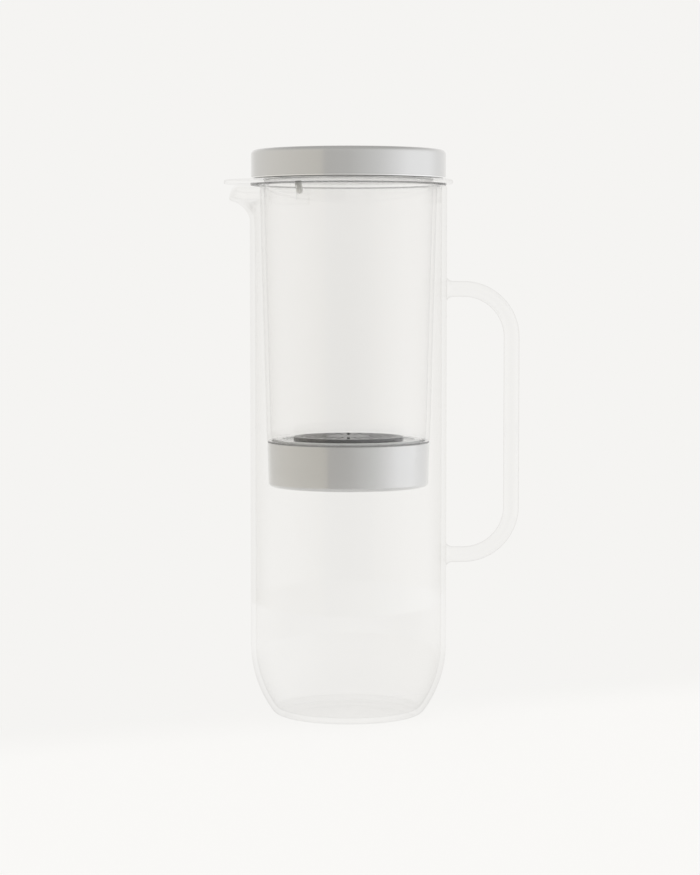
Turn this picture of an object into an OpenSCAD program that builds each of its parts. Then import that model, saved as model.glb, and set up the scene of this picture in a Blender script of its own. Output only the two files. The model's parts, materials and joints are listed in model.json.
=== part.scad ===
// Water filter carafe: a glass body with a spout and a rod handle, a clear reservoir tube
// that hangs in the neck, a cup with a filter cartridge at its lower end, and a lift-off lid.
// Millimetres. Z is up, the base stands on z = 0, the spout points to -X, the handle to +X.

/* [Glass body] */
// Outside diameter of the straight wall
body_d = 100; // [94:1:112]
// Height from the table to the top of the rim
glass_h = 269.1; // [260:0.1:300]
// Thickness of the wall
glass_t = 2.5; // [2.2:0.1:3]
// Thickness of the floor
floor_t = 4; // [3.5:0.5:6]
// Height at which the wall starts to turn in
taper_h = 36; // [32:1:42]
// Radius of the turned-in stretch
taper_r = 58; // [54:1:70]
// Radius of the heel
heel_r = 5; // [4:0.5:7]
// Rise of the hollow under the base
punt_h = 1.5; // [0.5:0.1:2]

/* [Spout] */
// Reach of the spout beyond the wall
spout_reach = 10.5; // [9.5:0.1:13]
// Depth of the spout's root below the rim
spout_drop = 20.1; // [19.5:0.1:25]
// Dip of the pouring edge below the rim
spout_dip = 6.2; // [4:0.2:6.4]
// Width of that dip
dip_w = 24; // [18:0.2:26]
// Thickness of the spout
spout_t = 1.8; // [1.6:0.1:2]

/* [Handle] */
// Diameter of the rod
rod_d = 8; // [7:0.5:10]
// Distance from the wall to the axis of the grip
handle_reach = 33; // [30:1:42]
// Height of the upper arm
handle_top = 216.9; // [200:0.1:225]
// Height of the lower arm
handle_low = 81.5; // [70:0.5:100]
// Bend radius on the rod's axis
bend_r = 24.5; // [16:0.5:26]
// Diameter of the flared feet at the wall
foot_d = 11.5; // [10.5:0.5:15]

/* [Reservoir tube] */
// Gap between the tube and the glass at the neck
pour_gap = 2.5; // [2.2:0.1:4]
// Narrowing of the tube's radius from top to bottom
tube_draft = 3.4; // [2:0.1:4]
// Wall of the tube
tube_t = 2; // [1.8:0.1:2.4]
// Height of the shoulder that the filter cup meets
shoulder_z = 139.9; // [125:0.1:160]
// Thickness of the flange
flange_t = 2.2; // [1.8:0.1:3]
// Overhang of the flange beyond the wall
flange_over = 3; // [2:0.1:4]
// Overhang of the flange's tongue beyond the spout
tongue_over = 2.7; // [1.5:0.1:4]
// Width of the centring tabs in degrees
tab_w = 31; // [20:1:40]
// Height of the centring tabs
tab_h = 7.7; // [5:0.1:10]

/* [Filter cup and cartridge] */
// Height of the silver sleeve
cup_h = 22.3; // [21.5:0.1:30]
// Turn that frees the cup
cup_turn = 30; // [20:1:40]
// Width of a bayonet lug in degrees
lug_w = 18; // [12:1:20]
// Diameter of the inlet grille
grille_d = 56; // [50:1:60]
// Number of inlet slots in the grille
inlet_n = 24; // [12:1:24]

/* [Lid] */
// Height of the lid
lid_h = 14; // [11:0.5:20]
// Radius of the lid's top edge
lid_edge_r = 2.4; // [1.8:0.1:4]
// Diameter of the peg under the lid
peg_d = 3; // [2.5:0.1:3.4]

/* [Hidden] */
$fn = 96;
seat = 0.25;
slip = 0.1;
run = 0.3;
lap = 1;

body_r = body_d / 2;
bore_r = body_r - glass_t;
taper_x = body_r - taper_r;
foot_ring = 4;
inner_heel_r = heel_r + 1;

rim_r = glass_t / 2;

spout_tip = body_r + spout_reach;
spout_c = body_r - 10;
sweep_r = 12.5;
sweep_x = body_r - 0.5 + sweep_r;
sweep_z = glass_h - spout_drop;
chin_r = 1;
chin_x = spout_tip - chin_r;
chin_a = 180 - acos((sweep_x - chin_x) / sweep_r);
chin_z = sweep_z + sweep_r * sin(chin_a) + chin_r;

grip_x = body_r + handle_reach;
foot_len = 3.2;

seal_t = 0.6;
seal_z = glass_h + slip;
seal_r = body_r - 0.4;
flange_z = seal_z + seal_t;
flange_top = flange_z + flange_t;
flange_r = body_r + flange_over;
tongue_r = spout_tip + tongue_over - spout_c;
tongue_fillet = 15;
fillet_overcut = 0.08;
tube_r1 = bore_r - pour_gap;
tube_r0 = tube_r1 - tube_draft;
tab_z = seal_z - 0.9 - tab_h;
tab_at = [12.5, 132.5, 252.5];

spigot_r = tube_r0 - 2.4;
spigot_in = spigot_r - 1.4;
spigot_z = shoulder_z - 10.4;
ledge_z = shoulder_z - 3.4;
ledge_t = 1.6;
ledge_in = spigot_in - 2.2;
lug_z = shoulder_z - 8.9;
lug_h = 2;
lug_r = spigot_r + 0.9;
lug_at = [60, 180, 300];
gasket_t = 0.8;

sleeve_z1 = shoulder_z - gasket_t - slip;
sleeve_z0 = sleeve_z1 - cup_h;
sleeve_t = 0.7;
sleeve_r1 = tube_r0 - 0.3;
sleeve_r0 = sleeve_r1 - 0.6;
sleeve_edge_r = 2.8;
sleeve_hole_r = 26;
liner_floor_t = 1.7;
liner_z0 = sleeve_z0 + sleeve_t + slip;
liner_z1 = sleeve_z1 - 0.2;
liner_in = spigot_r + run;
liner_low_in = liner_in - 1.2;

shell_z0 = liner_z0 + liner_floor_t + run;
shell_r = ledge_in - 0.4;
shell_t = 1.4;
shell_floor_t = 1.5;
cover_r = spigot_in - 0.4;
rim_z = ledge_z + 0.9;
rim_t = 1;
cover_z = rim_z + rim_t;
cover_t = 2.2;
plate_t = 1.4;
grille_r = grille_d / 2;
grille_in = grille_r - 2;
grille_z = cover_z + plate_t + slip;
grille_h = 2.1;
bed_r = shell_r - shell_t - slip;
bed_z0 = shell_z0 + shell_floor_t;
bed_z1 = cover_z - 0.2;
fleece_t = 1;
bed_t = (bed_z1 - bed_z0 - 3 * fleece_t) / 2;

lid_r = body_r - 0.7;
lid_z = flange_top + 0.9;
lid_t = 1.2;
mouth_r = tube_r1 - tube_t;
plug_r = mouth_r - 0.6;
plug_z = flange_z + 0.6;
insert_z = flange_top + slip;
groove_z = plug_z + 0.5;
groove_h = insert_z - groove_z;
peg_r = plug_r - 2.7;
peg_a = 231.3;
peg_z = flange_z - 5.8;

// Points of an arc round (x, z), from angle a0 to a1
function arc(x, z, r, a0, a1, n = 12) =
    [for (i = [0:n]) [x + r * cos(a0 + (a1 - a0) * i / n), z + r * sin(a0 + (a1 - a0) * i / n)]];

// Centre of a heel of radius h that stands on height z inside the taper arc of radius r
function heel_x(r, h, z) = taper_x + sqrt(pow(r - h, 2) - pow(taper_h - z - h, 2));

// Angle at which the taper arc and that heel meet
function heel_a(r, h, z) = -asin((taper_h - z - h) / (r - h));

// Outside radius of the tube at a height
function tube_at(z) = tube_r0 + tube_draft * (z - shoulder_z) / (flange_z - shoulder_z);

// Part of a ring, w degrees wide round angle a
module sector(a, w, r0, r1, z0, z1) {
    rotate([0, 0, a - w / 2])
        rotate_extrude(angle = w)
            translate([r0, z0])
                square([r1 - r0, z1 - z0]);
}

module ring(r0, r1, z0, z1) {
    rotate_extrude()
        translate([r0, z0])
            square([r1 - r0, z1 - z0]);
}

// Holes in rings round the axis
module holes(d, z0, z1, pitch, rings) {
    for (k = [1:rings])
        for (i = [0:6 * k - 1])
            rotate([0, 0, i * 60 / k])
                translate([k * pitch, 0, z0])
                    cylinder(d = d, h = z1 - z0, $fn = 24);
}

module body_solid() {
    a = heel_a(taper_r, heel_r, 0);
    rotate_extrude()
        polygon(concat(
            [[0, 0]],
            arc(heel_x(taper_r, heel_r, 0), heel_r, heel_r, -90, a, 6),
            arc(taper_x, taper_h, taper_r, a, 0),
            arc(body_r - rim_r, glass_h - rim_r, rim_r, 0, 90, 6),
            [[0, glass_h]]));
}

module body_hollow() {
    a = heel_a(taper_r - glass_t, inner_heel_r, floor_t);
    rotate_extrude()
        polygon(concat(
            [[0, floor_t]],
            arc(heel_x(taper_r - glass_t, inner_heel_r, floor_t), floor_t + inner_heel_r,
                inner_heel_r, -90, a, 6),
            arc(taper_x, taper_h, taper_r - glass_t, a, 0),
            arc(bore_r + rim_r, glass_h - rim_r, rim_r, 180, 90, 6),
            [[bore_r + rim_r, glass_h + lap], [0, glass_h + lap]]));
}

// The spout is a horn round its own upright axis: a concave sweep out of the wall,
// a small chin and an upright front, which the dip of the pouring edge cuts down
module spout_solid() {
    edge_r = spout_t / 2;
    translate([-spout_c, 0, 0])
        rotate_extrude()
            polygon(concat(
                [[0, sweep_z]],
                arc(sweep_x - spout_c, sweep_z, sweep_r, 180, chin_a),
                arc(chin_x - spout_c, chin_z, chin_r, chin_a - 180, 0, 6),
                arc(spout_tip - edge_r - spout_c, glass_h - edge_r, edge_r, 0, 90, 6),
                [[0, glass_h]]));
}

module spout_hollow() {
    wall_x = spout_tip - spout_t - spout_c;
    translate([-spout_c, 0, 0])
        rotate_extrude()
            polygon(concat(
                [[0, sweep_z]],
                arc(sweep_x - spout_c, sweep_z, sweep_r + spout_t, 180, 106),
                [[wall_x, glass_h - spout_dip], [wall_x, glass_h + lap], [0, glass_h + lap]]));
}

// Space above the pouring edge, which dips in a smooth wave between the spout's shoulders
module spout_dip_cut() {
    w = dip_w / 2;
    rise = 0.3;
    steps = 24;
    translate([-body_r - lap, 0, 0])
        rotate([90, 0, -90])
            linear_extrude(spout_reach + lap)
                polygon(concat(
                    [for (i = [0:steps])
                        let (y = w * (2 * i / steps - 1))
                        [y, glass_h + rise - (spout_dip + rise) * (1 + cos(180 * y / w)) / 2]],
                    [[w, glass_h + 2 * lap], [-w, glass_h + 2 * lap]]));
}

module punt() {
    foot_in = heel_x(taper_r, heel_r, 0) - foot_ring;
    steps = 8;
    rotate_extrude()
        polygon(concat(
            [[0, -lap], [foot_in, -lap]],
            [for (i = [steps:-1:0]) [foot_in * i / steps, punt_h * (1 - pow(i / steps, 2))]]));
}

module carafe_glass() {
    color([0.92, 0.95, 0.95, 0.35])
        difference() {
            union() {
                body_solid();
                spout_solid();
            }
            body_hollow();
            spout_hollow();
            spout_dip_cut();
            punt();
        }
}

// One arm of the handle: a flared foot, a short straight and a bend that turns to the grip
module handle_arm(z, up) {
    rod_r = rod_d / 2;
    fillet = foot_d / 2 - rod_r;
    straight = handle_reach - bend_r + glass_t;
    translate([bore_r, 0, z])
        rotate([0, 90, 0]) {
            cylinder(r = rod_r, h = straight);
            rotate_extrude()
                polygon(concat(
                    [[0, 0], [foot_d / 2, 0], [foot_d / 2, glass_t]],
                    [for (i = [1:6])
                        [rod_r + fillet * pow(1 - i / 6, 2), glass_t + foot_len * i / 6]],
                    [[0, glass_t + foot_len]]));
        }
    translate([grip_x - bend_r, 0, z + up * bend_r])
        rotate([90, 0, 0])
            rotate([0, 0, up > 0 ? -90 : 0])
                rotate_extrude(angle = 90)
                    translate([bend_r, 0])
                        circle(r = rod_r);
}

module handle() {
    color([0.92, 0.95, 0.95, 0.4])
        difference() {
            union() {
                handle_arm(handle_top, -1);
                handle_arm(handle_low, 1);
                translate([grip_x, 0, handle_low + bend_r])
                    cylinder(d = rod_d, h = handle_top - handle_low - 2 * bend_r);
            }
            cylinder(r = body_r, h = glass_h);
        }
}

// The flange's tongue over the spout, with fillets where it leaves the round flange
module tongue() {
    far = flange_r + tongue_fillet;
    x = (pow(far, 2) + pow(spout_c, 2) - pow(tongue_r + tongue_fillet, 2)) / (2 * spout_c);
    y = sqrt(pow(far, 2) - pow(x, 2));
    translate([0, 0, flange_z])
        linear_extrude(flange_t)
            difference() {
                union() {
                    translate([-spout_c, 0])
                        circle(r = tongue_r);
                    polygon([[0, 0], [-x, y], [-spout_c, 0], [-x, -y]]);
                }
                for (side = [-1, 1])
                    translate([-x, side * y])
                        circle(r = tongue_fillet + fillet_overcut);
                circle(r = flange_r - lap);
            }
}

module reservoir_tube() {
    step_z = shoulder_z + 1.7;
    color([0.93, 0.95, 0.96, 0.35])
        union() {
            rotate_extrude()
                polygon([
                    [spigot_r, spigot_z],
                    [spigot_r, shoulder_z],
                    [tube_r0, shoulder_z],
                    [tube_r1, flange_z],
                    [flange_r, flange_z],
                    [flange_r, flange_top],
                    [mouth_r, flange_top],
                    [mouth_r, flange_z],
                    [tube_at(step_z) - tube_t, step_z],
                    [spigot_in, shoulder_z - 0.7],
                    [spigot_in, ledge_z],
                    [ledge_in, ledge_z],
                    [ledge_in, ledge_z - ledge_t],
                    [spigot_in, ledge_z - ledge_t - 1.5],
                    [spigot_in, spigot_z]]);
            tongue();
            for (a = tab_at)
                sector(a, tab_w, tube_r1 - lap, bore_r - run, tab_z, tab_z + tab_h);
            for (a = lug_at)
                sector(a, lug_w, spigot_r - 0.7, lug_r, lug_z, lug_z + lug_h);
        }
}

module flange_seal() {
    color([0.45, 0.45, 0.46])
        ring(tube_r1 + slip, seal_r, seal_z, flange_z);
}

module cup_gasket() {
    color([0.45, 0.45, 0.46])
        ring(spigot_r + slip, sleeve_r1 - slip, shoulder_z - gasket_t, shoulder_z);
}

// Upright section of the cap, with a round top edge
module cap_section(r, h, edge) {
    square([r - edge, h]);
    square([r, h - edge]);
    translate([r - edge, h - edge])
        intersection() {
            circle(r = edge);
            square(edge);
        }
}

module lid_shell() {
    color([0.74, 0.74, 0.73])
        rotate_extrude()
            translate([0, lid_z])
                difference() {
                    cap_section(lid_r, lid_h, lid_edge_r);
                    translate([0, -lap])
                        cap_section(lid_r - lid_t, lid_h - lid_t + lap, lid_edge_r - lid_t);
                }
}

module lid_insert() {
    disc_r = lid_r - lid_t - slip;
    disc_t = 2.5;
    wall_t = 1.8;
    wall_h = lid_h - lid_t - lid_edge_r;
    dish_r = peg_r - 2;
    dish_h = 1.4;
    web_t = 1.6;
    color([0.62, 0.62, 0.61])
        union() {
            difference() {
                union() {
                    ring(0, disc_r, insert_z, insert_z + disc_t);
                    ring(disc_r - wall_t, disc_r, insert_z, insert_z + wall_h);
                    ring(0, plug_r, plug_z, insert_z + lap);
                }
                translate([0, 0, plug_z - lap])
                    cylinder(r = dish_r, h = dish_h + lap);
                ring(plug_r - 1, plug_r + lap, groove_z, groove_z + groove_h);
            }
            for (a = [0:60:300])
                rotate([0, 0, a])
                    translate([lap, -web_t / 2, insert_z + lap])
                        cube([disc_r - wall_t, web_t, wall_h - 2 * lap]);
            rotate([0, 0, peg_a])
                translate([peg_r, 0, peg_z + peg_d / 2]) {
                    cylinder(d = peg_d, h = plug_z + lap / 2 - peg_z - peg_d / 2);
                    sphere(d = peg_d);
                }
        }
}

module lid_gasket() {
    color([0.8, 0.8, 0.79])
        ring(plug_r - 1 + slip, mouth_r - seat, groove_z + slip, groove_z + groove_h - slip);
}

module cup_sleeve() {
    edge_x = sleeve_r0 - sleeve_edge_r;
    edge_z = sleeve_z0 + sleeve_edge_r;
    color([0.74, 0.74, 0.73])
        rotate_extrude()
            polygon(concat(
                [[sleeve_hole_r, sleeve_z0]],
                arc(edge_x, edge_z, sleeve_edge_r, -90, 0, 8),
                [[sleeve_r1, sleeve_z1], [sleeve_r1 - sleeve_t, sleeve_z1]],
                arc(edge_x, edge_z, sleeve_edge_r - sleeve_t, 0, -90, 8),
                [[sleeve_hole_r, sleeve_z0 + sleeve_t]]));
}

module cup_liner() {
    edge_r = sleeve_edge_r - sleeve_t - slip;
    edge_x = sleeve_r0 - sleeve_edge_r;
    edge_z = liner_z0 + edge_r;
    floor_z = liner_z0 + liner_floor_t;
    step_z = spigot_z - run;
    entry = lug_w + 2;
    color([0.85, 0.86, 0.86])
        difference() {
            rotate_extrude()
                polygon(concat(
                    [[0, liner_z0]],
                    arc(edge_x, edge_z, edge_r, -90, 0, 8),
                    [[sleeve_r1 - sleeve_t - slip, liner_z1],
                        [liner_in, liner_z1],
                        [liner_in, step_z],
                        [liner_low_in, step_z - 1.2],
                        [liner_low_in, floor_z + 1],
                        [liner_low_in - 1, floor_z],
                        [0, floor_z]]));
            holes(2.6, liner_z0 - lap, floor_z + lap, 5.5, 4);
            for (a = lug_at) {
                sector(a - cup_turn / 2, entry + cup_turn, liner_in - 0.2, sleeve_r1,
                    lug_z - run, lug_z + lug_h + run);
                sector(a - cup_turn, entry, liner_in - 0.2, sleeve_r1, lug_z, liner_z1 + lap);
            }
        }
}

module cartridge_shell() {
    edge_r = 1.5;
    color([0.9, 0.91, 0.91])
        difference() {
            rotate_extrude()
                polygon(concat(
                    [[0, shell_z0]],
                    arc(shell_r - edge_r, shell_z0 + edge_r, edge_r, -90, 0, 6),
                    [[shell_r, rim_z],
                        [cover_r, rim_z],
                        [cover_r, cover_z],
                        [shell_r - shell_t, cover_z],
                        [shell_r - shell_t, bed_z0],
                        [0, bed_z0]]));
            holes(2, shell_z0 - lap, bed_z0 + lap, 5, 5);
        }
}

module cartridge_cover() {
    color([0.9, 0.91, 0.91])
        union() {
            ring(grille_in, cover_r, cover_z, cover_z + plate_t);
            ring(shell_r - shell_t, cover_r, cover_z, cover_z + cover_t);
        }
}

// Raised puck in the middle of the cover, with slots that let the water in
module cartridge_grille() {
    slot_r0 = 11;
    slot_r1 = grille_in - 1;
    slot_w = 1.6;
    color([0.13, 0.13, 0.14])
        difference() {
            union() {
                ring(0, grille_r, grille_z, grille_z + grille_h);
                ring(0, grille_in - slip, cover_z + slip, grille_z + lap);
            }
            for (i = [0:inlet_n - 1])
                rotate([0, 0, i * 360 / inlet_n])
                    translate([slot_r0, -slot_w / 2, cover_z - lap])
                        cube([slot_r1 - slot_r0, slot_w, plate_t + grille_h + 3 * lap]);
        }
}

module cartridge_seal() {
    color([0.45, 0.45, 0.46])
        ring(shell_r + slip, cover_r - slip, ledge_z + slip, rim_z);
}

module bed(z, t) {
    translate([0, 0, z])
        cylinder(r = bed_r, h = t);
}

module bottom_fleece() {
    color([0.95, 0.95, 0.93])
        bed(bed_z0, fleece_t);
}

module resin_bed() {
    color([0.75, 0.58, 0.3])
        bed(bed_z0 + fleece_t, bed_t);
}

module middle_fleece() {
    color([0.95, 0.95, 0.93])
        bed(bed_z0 + fleece_t + bed_t, fleece_t);
}

module carbon_bed() {
    color([0.07, 0.07, 0.07])
        bed(bed_z0 + 2 * fleece_t + bed_t, bed_t);
}

module top_fleece() {
    color([0.95, 0.95, 0.93])
        bed(bed_z1 - fleece_t, fleece_t);
}

carafe_glass();
handle();
reservoir_tube();
flange_seal();
cup_gasket();
lid_shell();
lid_insert();
lid_gasket();
cup_sleeve();
cup_liner();
cartridge_shell();
cartridge_cover();
cartridge_grille();
cartridge_seal();
top_fleece();
carbon_bed();
middle_fleece();
resin_bed();
bottom_fleece();
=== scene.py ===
import json
import math

import bpy
import numpy as np
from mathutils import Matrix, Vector, noise


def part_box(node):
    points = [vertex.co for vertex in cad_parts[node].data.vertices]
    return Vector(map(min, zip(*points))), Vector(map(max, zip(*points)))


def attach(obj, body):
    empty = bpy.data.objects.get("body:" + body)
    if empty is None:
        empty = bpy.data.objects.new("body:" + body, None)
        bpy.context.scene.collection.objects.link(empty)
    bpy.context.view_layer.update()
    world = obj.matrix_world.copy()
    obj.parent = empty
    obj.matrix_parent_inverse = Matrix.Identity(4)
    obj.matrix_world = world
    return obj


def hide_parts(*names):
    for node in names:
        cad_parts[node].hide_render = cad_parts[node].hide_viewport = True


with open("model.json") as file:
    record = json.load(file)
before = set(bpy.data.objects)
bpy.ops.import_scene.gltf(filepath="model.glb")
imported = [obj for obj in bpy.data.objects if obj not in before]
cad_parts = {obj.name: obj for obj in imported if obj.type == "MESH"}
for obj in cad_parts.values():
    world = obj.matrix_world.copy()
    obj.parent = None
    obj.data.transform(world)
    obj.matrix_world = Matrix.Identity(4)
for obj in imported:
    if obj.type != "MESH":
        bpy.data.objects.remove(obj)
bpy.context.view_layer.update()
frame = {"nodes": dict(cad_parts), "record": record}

MM = 0.001

# Sizes in millimetres, taken from the frame where it has them


def span(node):
    """Low and high corner of a CAD node in millimetres."""
    low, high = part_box(node)
    return [c / MM for c in low], [c / MM for c in high]


JOINT_GAP = 0.02

GLASS_LOW, GLASS_HIGH = span("carafe_glass")
BODY_R = GLASS_HIGH[1]
RIM_Z = GLASS_HIGH[2]
SPOUT_TIP = -GLASS_LOW[0]
GLASS_T = 2.5
FLOOR_T = 3.0
TAPER_Z = 36.0
TAPER_R = 58.0
HEEL_R = 5.0
FOOT_RING = 4.0
PUNT_H = 1.5

SPOUT_C = BODY_R - 10
SPOUT_T = 1.8
SPOUT_Z = RIM_Z - 25
SWEEP_Z = RIM_Z - 20.1
SWEEP_R = 12.5
SWEEP_X = BODY_R - 0.5 + SWEEP_R
CHIN_R = 2.0
DIP = 6.2
DIP_HALF = 12.6
SPOUT_BLEND = 5.0

ROD_R = 4.0
GRIP_X = span("handle")[1][0] - ROD_R
ARM_TOP = 216.9
ARM_LOW = 81.5
BEND_R = 24.5
FOOT_FLARE = 1.7
FOOT_LEN = 3.4

TUBE_LOW, TUBE_HIGH = span("reservoir_tube")
FLANGE_R = TUBE_HIGH[0]
FLANGE_TOP = TUBE_HIGH[2]
FLANGE_T = 2.2
FLANGE_Z = FLANGE_TOP - FLANGE_T
TONGUE_R = -TUBE_LOW[0] - SPOUT_C
TONGUE_FILLET = 15.0
TUBE_R1 = 45.0
TUBE_R0 = 41.6
TUBE_T = 2.0
MOUTH_R = TUBE_R1 - TUBE_T
SPIGOT_H = 10.4
SPIGOT_T = 1.4
SHOULDER_Z = TUBE_LOW[2] + SPIGOT_H
STEP_Z = SHOULDER_Z + 1.7
SPIGOT_R = TUBE_R0 - 2.4
SPIGOT_IN = SPIGOT_R - SPIGOT_T
LEDGE_Z = SHOULDER_Z - 3.4
LEDGE_T = 1.6
LEDGE_SLOPE = 1.5
LEDGE_IN = SPIGOT_IN - 2.2
TAB_R = 47.2
TAB_Z = (RIM_Z - 8.5, RIM_Z - 0.8)
TAB_AT = (12.5, 132.5, 252.5)
TAB_W = 31.0
LUG_R = SPIGOT_R + 0.9
LUG_Z = (SHOULDER_Z - 8.9, SHOULDER_Z - 6.9)
LUG_AT = (60.0, 180.0, 300.0)
LUG_W = 18.0
LUG_SOFT = (0.8, 0.5)

# Meshes


def arc(x, z, r, a0, a1, steps):
    """Points of an arc round (x, z) from angle a0 to a1 in degrees."""
    turn = [math.radians(a0 + (a1 - a0) * i / steps) for i in range(steps + 1)]
    return [(x + r * math.cos(a), z + r * math.sin(a)) for a in turn]


def rounded(corners, closed=True, steps=5, near=0.25):
    """Outline through corners (r, z, fillet), with two points on each side close to its ends."""
    count = len(corners)
    bends = []
    for i, (r, z, fillet) in enumerate(corners):
        here = Vector((r, z))
        if fillet == 0:
            bends.append([here])
            continue
        back = Vector(corners[i - 1][:2]) - here
        on = Vector(corners[(i + 1) % count][:2]) - here
        half = back.angle(on) / 2
        cut = min(fillet / math.tan(half), 0.48 * back.length, 0.48 * on.length)
        centre = here + (back.normalized() + on.normalized()).normalized() * cut / math.cos(half)
        u = here + back.normalized() * cut - centre
        v = here + on.normalized() * cut - centre
        turn = u.angle(v)
        bends.append([])
        for k in range(steps + 1):
            s = k / steps
            arm = u * math.sin((1 - s) * turn) + v * math.sin(s * turn)
            bends[-1].append(centre + arm / math.sin(turn))
    points = []
    for i, bend in enumerate(bends):
        points += bend
        if closed or i + 1 < count:
            side = bends[(i + 1) % count][0] - bend[-1]
            step = side.normalized() * min(near, 0.25 * side.length)
            points += [bend[-1] + step, bend[-1] + side - step]
    return [tuple(p) for p in points]


def even(steps):
    """Angles at even steps round the axis."""
    return [360 * i / steps for i in range(steps)]


def mesh_object(name, points, faces):
    """Smooth object from points in millimetres."""
    mesh = bpy.data.meshes.new(name)
    mesh.from_pydata([tuple(c * MM for c in p) for p in points], [], faces)
    mesh.validate()
    mesh.shade_smooth()
    obj = bpy.data.objects.new(name, mesh)
    bpy.context.collection.objects.link(obj)
    return obj


def shell(grid, loop=False, poles=False):
    """Vertices and faces of a grid[column][row] that closes round its columns.
    loop joins the last row to the first; poles makes the first and last row one point each."""
    columns, rows = len(grid), len(grid[0])
    points, index = [], {}
    for r in range(rows):
        single = poles and r in (0, rows - 1)
        for c in range(columns):
            if single and c:
                index[c, r] = index[0, r]
                continue
            index[c, r] = len(points)
            points.append(grid[c][r])
    faces = []
    for r in range(rows if loop else rows - 1):
        up = (r + 1) % rows
        for c in range(columns):
            on = (c + 1) % columns
            quad = [index[c, r], index[on, r], index[on, up], index[c, up]]
            face = [v for i, v in enumerate(quad) if v not in quad[:i]]
            if len(face) > 2:
                faces.append(face)
    return points, faces


def turned(section, angles):
    """Grid of a section(angle) of (r, z) points turned round the Z axis."""
    grid = []
    for a in angles:
        c, s = math.cos(math.radians(a)), math.sin(math.radians(a))
        grid.append([(r * c, r * s, z) for r, z in section(a)])
    return grid


def revolve(name, outline, loop=True, steps=192):
    """A turned solid: a closed outline, or one that starts and ends on the axis."""
    return mesh_object(name, *shell(turned(lambda a: outline, even(steps)), loop, not loop))


def ring(name, r0, r1, z0, z1, fillet, steps=160):
    """A turned ring with a rectangular section and rounded edges."""
    corners = [(r0, z0, fillet), (r1, z0, fillet), (r1, z1, fillet), (r0, z1, fillet)]
    return revolve(name, rounded(corners), steps=steps)


def join(name, parts):
    """One object from several closed shells."""
    points, faces = [], []
    for p, f in parts:
        faces += [[i + len(points) for i in face] for face in f]
        points += p
    return mesh_object(name, points, faces)


def from_spout(angle):
    """Signed angle from the spout's direction."""
    return (angle % 360) - 180


def smooth(x, x0, x1):
    """Soft step from 0 at x0 to 1 at x1."""
    t = min(max((x - x0) / (x1 - x0), 0), 1)
    return t * t * (3 - 2 * t)


# The spout: a horn round its own axis, blended into the wall, with a dipped pouring edge
CHIN_X = SPOUT_TIP - CHIN_R
CHIN_Z = SWEEP_Z + math.sqrt((SWEEP_R + CHIN_R) ** 2 - (SWEEP_X - CHIN_X) ** 2)
SWEEP_END = SWEEP_Z + (CHIN_Z - SWEEP_Z) * SWEEP_R / (SWEEP_R + CHIN_R)


def horn_reach(z):
    """Distance of the spout's outline from the body's axis at a height."""
    if z < SWEEP_Z:
        return SWEEP_X - SWEEP_R
    if z < SWEEP_END:
        return SWEEP_X - math.sqrt(SWEEP_R ** 2 - (z - SWEEP_Z) ** 2)
    if z < CHIN_Z:
        return CHIN_X + math.sqrt(CHIN_R ** 2 - (CHIN_Z - z) ** 2)
    return SPOUT_TIP


def on_circle(centre, radius, phi):
    """Polar radius of the far side of a circle whose centre lies on the spout's direction."""
    room = radius ** 2 - (centre * math.sin(phi)) ** 2
    return centre * math.cos(phi) + math.sqrt(room) if room > 0 and abs(phi) < 1.5 else 0


def glass_radius(z, phi):
    """Outside radius of body and spout, blended so that the spout keeps its outline."""
    gain = horn_reach(z) - BODY_R
    if gain <= 0:
        return BODY_R
    k = SPOUT_BLEND
    shift = 2 * math.sqrt(k * gain) - k - gain if gain < k else 0
    diff = on_circle(SPOUT_C, horn_reach(z) - SPOUT_C, phi) + shift - BODY_R
    if diff >= k:
        return BODY_R + diff
    return BODY_R + max(k + diff, 0) ** 2 / (4 * k)


def edge_height(phi):
    """Height of the pouring edge."""
    y = abs(on_circle(SPOUT_C, SPOUT_TIP - SPOUT_C, phi) * math.sin(phi))
    if y >= DIP_HALF or abs(phi) > 0.6:
        return RIM_Z
    return RIM_Z - DIP * (1 + math.cos(math.pi * y / DIP_HALF)) / 2


def along(path, count):
    """count points at even distances along a path."""
    path = np.array(path)
    run = np.concatenate([[0], np.cumsum(np.linalg.norm(np.diff(path, axis=0), axis=1))])
    at = np.linspace(0, run[-1], count)
    return np.stack([np.interp(at, run, path[:, k]) for k in range(path.shape[1])], axis=1)


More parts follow.
